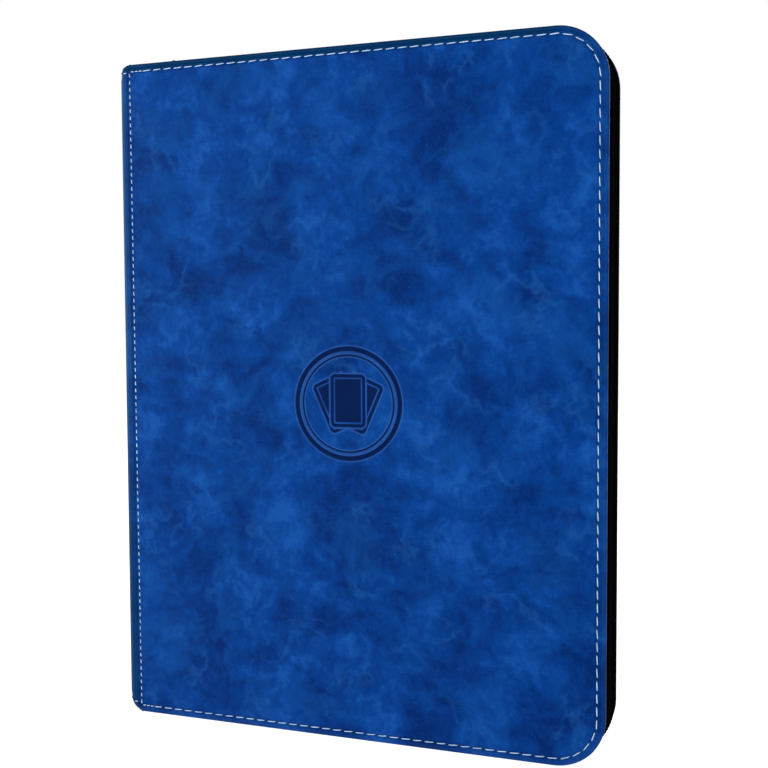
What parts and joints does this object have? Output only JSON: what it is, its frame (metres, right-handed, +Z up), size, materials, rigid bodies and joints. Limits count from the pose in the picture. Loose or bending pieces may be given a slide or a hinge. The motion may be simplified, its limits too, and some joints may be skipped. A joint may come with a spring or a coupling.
{
  "type": "trading card binder",
  "caption": "Zip-up padded binder standing upright: two hinged covers on a rounded spine, zip gusset round the open sides, and bound leaves of side-loading card pockets.",
  "frame": {"origin": "middle of the footprint, on the surface that the binder stands on", "axes": "+X from the spine to the fore edge, +Y from the front cover to the back cover, +Z up along the spine"},
  "size_m": [0.263, 0.035, 0.3539],
  "materials": {
    "cover_leather": "semi-matt mottled blue pull-up leather cloth with a fine pebble grain",
    "cover_foam": "thin white foam padding",
    "cover_board": "grey-brown bookbinding board",
    "cover_lining": "black woven polyester lining",
    "gusset": "black woven nylon",
    "zip_tape": "black woven zip tape",
    "zip_chain": "black moulded coil",
    "zip_metal": "black enamelled zinc",
    "thread": "pale blue twisted thread",
    "page_film": "clear polypropylene pockets on a black sheet",
    "binding": "black woven binding strip"
  },
  "bodies": {
    "spine": {"spine_leather": "cover_leather", "spine_foam": "cover_foam", "spine_board": "cover_board", "spine_lining": "cover_lining", "spine_stitches": "thread", "page_binding": "binding"},
    "front_cover": {"front_cover_leather": "cover_leather", "front_cover_foam": "cover_foam", "front_cover_board": "cover_board", "front_cover_lining": "cover_lining", "front_gusset": "gusset", "front_zip_tape": "zip_tape", "front_zip_chain": "zip_chain", "front_zip_stops": "zip_metal", "front_edge_stitches": "thread", "front_hinge_stitches": "thread"},
    "back_cover": {"back_cover_leather": "cover_leather", "back_cover_foam": "cover_foam", "back_cover_board": "cover_board", "back_cover_lining": "cover_lining", "back_gusset": "gusset", "back_zip_tape": "zip_tape", "back_zip_chain": "zip_chain", "back_zip_stops": "zip_metal", "back_edge_stitches": "thread", "back_hinge_stitches": "thread"},
    "slider": {"zip_slider": "zip_metal"},
    "puller": {"zip_puller": "zip_metal"},
    "page_01": {"page_01": "page_film"},
    "page_02": {"page_02": "page_film"},
    "page_03": {"page_03": "page_film"},
    "page_04": {"page_04": "page_film"},
    "page_05": {"page_05": "page_film"},
    "page_06": {"page_06": "page_film"},
    "page_07": {"page_07": "page_film"},
    "page_08": {"page_08": "page_film"},
    "page_09": {"page_09": "page_film"},
    "page_10": {"page_10": "page_film"},
    "page_11": {"page_11": "page_film"},
    "page_12": {"page_12": "page_film"},
    "page_13": {"page_13": "page_film"},
    "page_14": {"page_14": "page_film"},
    "page_15": {"page_15": "page_film"},
    "page_16": {"page_16": "page_film"},
    "page_17": {"page_17": "page_film"},
    "page_18": {"page_18": "page_film"},
    "page_19": {"page_19": "page_film"},
    "page_20": {"page_20": "page_film"}
  },
  "joints": [
    {"name": "front_cover_hinge", "type": "hinge", "parent": "spine", "child": "front_cover", "pos_m": [-0.125, -0.0175, 0.175], "axis": [0, 0, -1], "range_deg": [0, 180]},
    {"name": "back_cover_hinge", "type": "hinge", "parent": "spine", "child": "back_cover", "pos_m": [-0.125, 0.0175, 0.175], "axis": [0, 0, 1], "range_deg": [0, 180]},
    {"name": "page_01_turn", "type": "hinge", "parent": "spine", "child": "page_01", "pos_m": [-0.1215, -0.01235, 0.175], "axis": [0, 0, -1], "range_deg": [0, 90]},
    {"name": "page_02_turn", "type": "hinge", "parent": "spine", "child": "page_02", "pos_m": [-0.1209, -0.01105, 0.175], "axis": [0, 0, -1], "range_deg": [0, 87.75]},
    {"name": "page_03_turn", "type": "hinge", "parent": "spine", "child": "page_03", "pos_m": [-0.1203, -0.00975, 0.175], "axis": [0, 0, -1], "range_deg": [0, 85.5]},
    {"name": "page_04_turn", "type": "hinge", "parent": "spine", "child": "page_04", "pos_m": [-0.1197, -0.00845, 0.175], "axis": [0, 0, -1], "range_deg": [0, 83.25]},
    {"name": "page_05_turn", "type": "hinge", "parent": "spine", "child": "page_05", "pos_m": [-0.1191, -0.00715, 0.175], "axis": [0, 0, -1], "range_deg": [0, 81]},
    {"name": "page_06_turn", "type": "hinge", "parent": "spine", "child": "page_06", "pos_m": [-0.1185, -0.00585, 0.175], "axis": [0, 0, -1], "range_deg": [0, 78.75]},
    {"name": "page_07_turn", "type": "hinge", "parent": "spine", "child": "page_07", "pos_m": [-0.1179, -0.00455, 0.175], "axis": [0, 0, -1], "range_deg": [0, 76.5]},
    {"name": "page_08_turn", "type": "hinge", "parent": "spine", "child": "page_08", "pos_m": [-0.1173, -0.00325, 0.175], "axis": [0, 0, -1], "range_deg": [0, 74.25]},
    {"name": "page_09_turn", "type": "hinge", "parent": "spine", "child": "page_09", "pos_m": [-0.1167, -0.00195, 0.175], "axis": [0, 0, -1], "range_deg": [0, 72]},
    {"name": "page_10_turn", "type": "hinge", "parent": "spine", "child": "page_10", "pos_m": [-0.1161, -0.00065, 0.175], "axis": [0, 0, -1], "range_deg": [0, 69.75]},
    {"name": "page_11_turn", "type": "hinge", "parent": "spine", "child": "page_11", "pos_m": [-0.1161, 0.00065, 0.175], "axis": [0, 0, 1], "range_deg": [0, 69.75]},
    {"name": "page_12_turn", "type": "hinge", "parent": "spine", "child": "page_12", "pos_m": [-0.1167, 0.00195, 0.175], "axis": [0, 0, 1], "range_deg": [0, 72]},
    {"name": "page_13_turn", "type": "hinge", "parent": "spine", "child": "page_13", "pos_m": [-0.1173, 0.00325, 0.175], "axis": [0, 0, 1], "range_deg": [0, 74.25]},
    {"name": "page_14_turn", "type": "hinge", "parent": "spine", "child": "page_14", "pos_m": [-0.1179, 0.00455, 0.175], "axis": [0, 0, 1], "range_deg": [0, 76.5]},
    {"name": "page_15_turn", "type": "hinge", "parent": "spine", "child": "page_15", "pos_m": [-0.1185, 0.00585, 0.175], "axis": [0, 0, 1], "range_deg": [0, 78.75]},
    {"name": "page_16_turn", "type": "hinge", "parent": "spine", "child": "page_16", "pos_m": [-0.1191, 0.00715, 0.175], "axis": [0, 0, 1], "range_deg": [0, 81]},
    {"name": "page_17_turn", "type": "hinge", "parent": "spine", "child": "page_17", "pos_m": [-0.1197, 0.00845, 0.175], "axis": [0, 0, 1], "range_deg": [0, 83.25]},
    {"name": "page_18_turn", "type": "hinge", "parent": "spine", "child": "page_18", "pos_m": [-0.1203, 0.00975, 0.175], "axis": [0, 0, 1], "range_deg": [0, 85.5]},
    {"name": "page_19_turn", "type": "hinge", "parent": "spine", "child": "page_19", "pos_m": [-0.1209, 0.01105, 0.175], "axis": [0, 0, 1], "range_deg": [0, 87.75]},
    {"name": "page_20_turn", "type": "hinge", "parent": "spine", "child": "page_20", "pos_m": [-0.1215, 0.01235, 0.175], "axis": [0, 0, 1], "range_deg": [0, 90]},
    {"name": "zip_slider_run", "type": "slide", "parent": "back_cover", "child": "slider", "axis": [1, 0, 0], "range_m": [0, 0.204]},
    {"name": "zip_puller_swing", "type": "hinge", "parent": "slider", "child": "puller", "pos_m": [-0.1055, 0, 0.3524], "axis": [0, -1, 0], "range_deg": [0, 180]}
  ],
  "couplings": [
    {"joint": "page_01_turn", "follows": "front_cover_hinge", "ratio": 0.5},
    {"joint": "page_02_turn", "follows": "front_cover_hinge", "ratio": 0.4875},
    {"joint": "page_03_turn", "follows": "front_cover_hinge", "ratio": 0.475},
    {"joint": "page_04_turn", "follows": "front_cover_hinge", "ratio": 0.4625},
    {"joint": "page_05_turn", "follows": "front_cover_hinge", "ratio": 0.45},
    {"joint": "page_06_turn", "follows": "front_cover_hinge", "ratio": 0.4375},
    {"joint": "page_07_turn", "follows": "front_cover_hinge", "ratio": 0.425},
    {"joint": "page_08_turn", "follows": "front_cover_hinge", "ratio": 0.4125},
    {"joint": "page_09_turn", "follows": "front_cover_hinge", "ratio": 0.4},
    {"joint": "page_10_turn", "follows": "front_cover_hinge", "ratio": 0.3875},
    {"joint": "page_11_turn", "follows": "back_cover_hinge", "ratio": 0.3875},
    {"joint": "page_12_turn", "follows": "back_cover_hinge", "ratio": 0.4},
    {"joint": "page_13_turn", "follows": "back_cover_hinge", "ratio": 0.4125},
    {"joint": "page_14_turn", "follows": "back_cover_hinge", "ratio": 0.425},
    {"joint": "page_15_turn", "follows": "back_cover_hinge", "ratio": 0.4375},
    {"joint": "page_16_turn", "follows": "back_cover_hinge", "ratio": 0.45},
    {"joint": "page_17_turn", "follows": "back_cover_hinge", "ratio": 0.4625},
    {"joint": "page_18_turn", "follows": "back_cover_hinge", "ratio": 0.475},
    {"joint": "page_19_turn", "follows": "back_cover_hinge", "ratio": 0.4875},
    {"joint": "page_20_turn", "follows": "back_cover_hinge", "ratio": 0.5}
  ]
}
